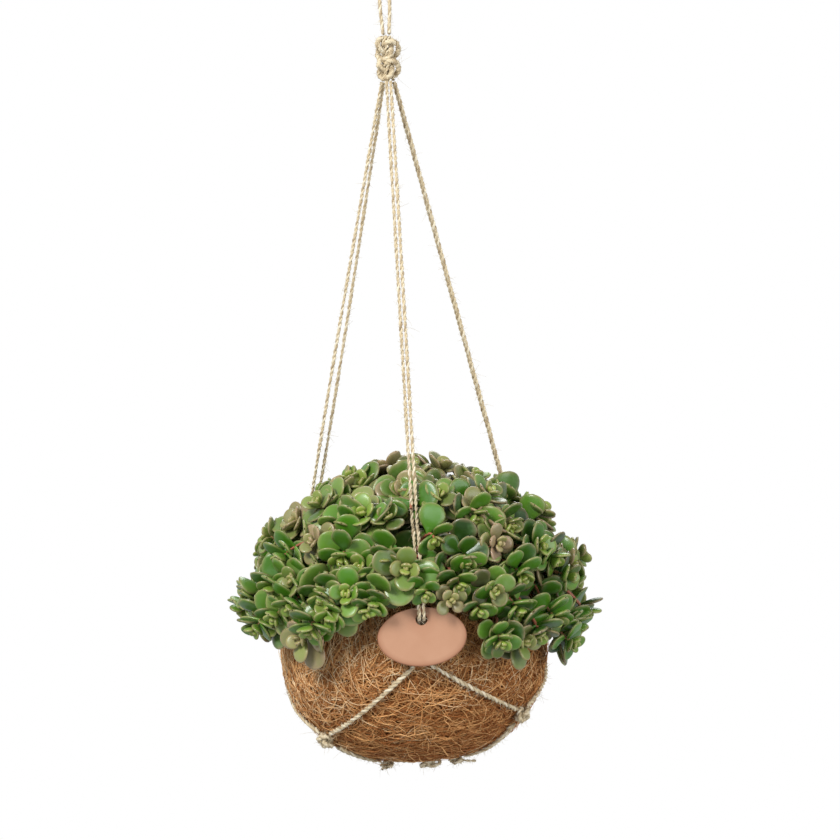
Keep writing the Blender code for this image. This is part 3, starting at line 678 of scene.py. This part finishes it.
def add_leaf(heap, root, along, face, length, young=0.0, bronze=0.0, width=0.40):
    """One thick, slightly cupped round leaf.

    Left out where it would run into the ball, the tag or the front pair of strands.
    """
    along = unit(along)
    side = unit(np.cross(face, along))
    face = np.cross(along, side)
    for reach in (0.0, 0.6, 1.0):
        x, y, z = (root + along * length * reach * MM) / MM
        if abs(x - 5.2) < 29 and y < -74 and -8 < z + BALL_DROP < 27:
            return          # the tag hangs clear of the leaves
        line = 79.5 * (KNOT_FOOT - z - BALL_DROP) / (KNOT_FOOT - 12.5)
        if 64 < z + BALL_DROP < 112 and abs(x - line * 0.061) < 6.5 and -y > line - 4:
            return          # and so do the front pair of strands, down to the leaves' shoulder
        radius, height = math.hypot(x, y), z + BALL_DROP
        if height < 36 and radius < ball_radius(height) + 2.5:
            return
    bend = rng.normal(0.05, 0.05)
    cup = rng.uniform(0.10, 0.28)
    z = LEAF_Z * (0.9 + 0.05 * length * 0.5) + length * (bend * LEAF_X ** 2
                                                        + cup * (LEAF_Y * width) ** 2 * 2)
    twist = rng.normal(0, 0.1)
    y = LEAF_Y * width * length * rng.uniform(0.92, 1.1)
    verts = root + (along * (LEAF_X * length)[..., None] + side * y[..., None]
                    + face * (z + twist * y)[..., None]) * MM
    # Leaves on the left side, where the key lamp falls, get a paler tone: painted light.
    painted_left_light = 0.22 if root[0] < -0.02 else 0.0
    heap.add(verts, LEAF_FACES, rim=LEAF_RIM, young=young, bronze=bronze,
             tone=np.clip(rng.beta(2, 2) * 0.9 + painted_left_light, 0, 1))


def bezier(a, b, c, d, count):
    t = np.linspace(0, 1, count)[:, None]
    s = 1 - t
    return a * s ** 3 + b * 3 * s * s * t + c * 3 * s * t * t + d * t ** 3


def envelope(height):
    """Reach of the foliage at a height above the ball's equator."""
    return np.interp(height, [-5, 20, 40, 60, 80, 95, 106], [97, 99, 97, 89, 70, 44, 14])


def sprig(stem_heap, leaf_heap, path, size, bronze, thick, spin):
    """A stem along the path with leaf pairs up it and a rosette at its end."""
    path = smooth_path(path, 0.002)
    radius = np.linspace(thick, thick * 0.75, len(path)) / 2 * MM
    verts, faces = tubes(path[None], radius[None], 8)
    green = np.linspace(0.1, 0.9, len(path)) * rng.uniform(0.4, 1)
    stem_heap.add(verts, faces, tone=np.repeat(green, 8))
    along, side, other = carried_frame(path)
    way = along[-1]
    for pair in range(6):
        opening = math.radians([10, 24, 42, 58, 72, 84][pair])
        length = size * [0.26, 0.44, 0.66, 0.90, 1.12, 1.22][pair]
        root = path[-1] - way * [0, 0.5, 1.3, 2.4, 3.8, 5.6][pair] * MM
        for half in (0, np.pi):
            turn = spin + pair * np.pi / 2 + half + rng.normal(0, 0.12)
            spoke = side[-1] * math.cos(turn) + other[-1] * math.sin(turn)
            angle = opening + rng.normal(0, 0.09)
            leaf_way = spoke * math.sin(angle) + way * math.cos(angle)
            face = way * math.sin(angle) - spoke * math.cos(angle)
            add_leaf(leaf_heap, root, leaf_way, face, length * rng.uniform(0.92, 1.06),
                     young=max(0.0, 1 - pair * 0.27), bronze=bronze * rng.uniform(0.5, 1))
    total = path_length(path) / MM
    for pair, back in enumerate((11, 18, 26, 35)):
        if back > total - 12:
            break
        i = len(path) - 1 - int(back / 2)
        for half in (0, np.pi):
            turn = spin + pair * np.pi / 2 + half + rng.normal(0, 0.2)
            spoke = side[i] * math.cos(turn) + other[i] * math.sin(turn)
            leaf_way = spoke + along[i] * rng.uniform(0.1, 0.4) + UP * 0.1
            add_leaf(leaf_heap, path[i], leaf_way, along[i] + UP * 0.4,
                     size * rng.uniform(1.1, 1.45), bronze=bronze * 0.3, width=0.46)


for index, (name, ((root_azimuth, root_radius), ends)) in enumerate(SHOOTS.items()):
    stems, leaves = Heap(), Heap()
    root = place(root_azimuth, root_radius, np.interp(root_radius, [0, 30, 60], [39, 37, 31]))
    for number, (azimuth, radius, height, size, tilt, bronze) in enumerate(ends):
        end = place(azimuth, radius, height)
        lift = math.radians(tilt)
        looks = outward(azimuth) * math.cos(lift) + UP * math.sin(lift)
        if number == 0:
            reach = np.linalg.norm(end - root)
            arch = 0.10 if height > 30 else 0.38
            path = bezier(root, root + UP * reach * 0.48,
                          end - looks * reach * 0.30 + UP * reach * arch, end, 24)
            main = path
        else:
            start = main[11]
            reach = np.linalg.norm(end - start)
            path = bezier(start, start + unit(main[12] - main[10]) * reach * 0.3,
                          end - looks * reach * 0.4, end, 24)
        sprig(stems, leaves, path, size, bronze, 2.4 if number == 0 else 2.0, index * 1.3 + number)
        for extra in range(1 + (height > 60)):
            start = path[(10, 15)[extra]]
            new_azimuth = azimuth + rng.choice((-1, 1)) * rng.uniform(7, 17)
            new_height = np.clip(height + rng.uniform(-16, 16), 6, 103)
            side_end = place(new_azimuth, envelope(new_height) - rng.uniform(3, 13), new_height)
            if abs(side_end[0] - 0.005) < 0.036 and side_end[1] < -0.06 and new_height < 36:
                continue        # no stem runs to where the tag hangs
            reach = np.linalg.norm(side_end - start)
            look = unit(outward(new_azimuth) + UP * max(0.0, (new_height - 40) / 50))
            route = bezier(start, start + unit(path[12] - path[8]) * reach * 0.3,
                           side_end - look * reach * 0.4, side_end, 14)
            sprig(stems, leaves, route, rng.uniform(12, 17), rng.choice((0, 0.2, 0.5, 0.9)), 1.7,
                  rng.uniform(0, 3))
    for azimuth, height, size in FILLERS.get(name, ()):
        start, side_end = main[9], place(azimuth, envelope(height) - 2.0, height)
        reach = np.linalg.norm(side_end - start)
        route = bezier(start, start + UP * reach * 0.35, side_end - outward(azimuth) * reach * 0.3
                       + UP * reach * 0.3, side_end, 14)
        sprig(stems, leaves, route, size, 0.0, 1.8, rng.uniform(0, 3))
    stems.build(f"{name}_stems", STEM, "plant")
    leaves.build(f"{name}_leaves", LEAF, "plant", [name])

# ---------------------------------------------------------------- light

scene = bpy.context.scene
scene.view_settings.view_transform = "Standard"
world = bpy.data.worlds.new("room")
scene.world = world
world.use_nodes = True
tree = world.node_tree
sky = tree.nodes["Background"]
sky.inputs["Color"].default_value = (0.92, 0.95, 1.0, 1.0)
sky.inputs["Strength"].default_value = 0.6
paper = tree.nodes.new("ShaderNodeBackground")
paper.inputs["Color"].default_value = (1, 1, 1, 1)
paper.inputs["Strength"].default_value = 1.0
seen = tree.nodes.new("ShaderNodeLightPath")
blend = tree.nodes.new("ShaderNodeMixShader")
tree.links.new(seen.outputs["Is Camera Ray"], blend.inputs[0])
tree.links.new(sky.outputs[0], blend.inputs[1])
tree.links.new(paper.outputs[0], blend.inputs[2])
tree.links.new(blend.outputs[0], tree.nodes["World Output"].inputs["Surface"])

LAMPS = (("key", (-0.7, -1.0, 0.45), 20.0, 0.45), ("fill", (0.95, -0.8, -0.25), 8.0, 0.8),
         ("back", (0.2, 1.0, 0.5), 9.0, 0.8))       # name, place, watts, size in metres
LAMPS_AIM = Vector((0, 0, -0.38))
for name, spot, power, size in LAMPS:
    lamp = bpy.data.lights.new(name, "AREA")
    lamp.energy, lamp.size = power, size
    light = bpy.data.objects.new(name, lamp)
    scene.collection.objects.link(light)
    light.location = spot
    aim = LAMPS_AIM - Vector(spot)
    light.rotation_euler = aim.to_track_quat("-Z", "Y").to_euler()
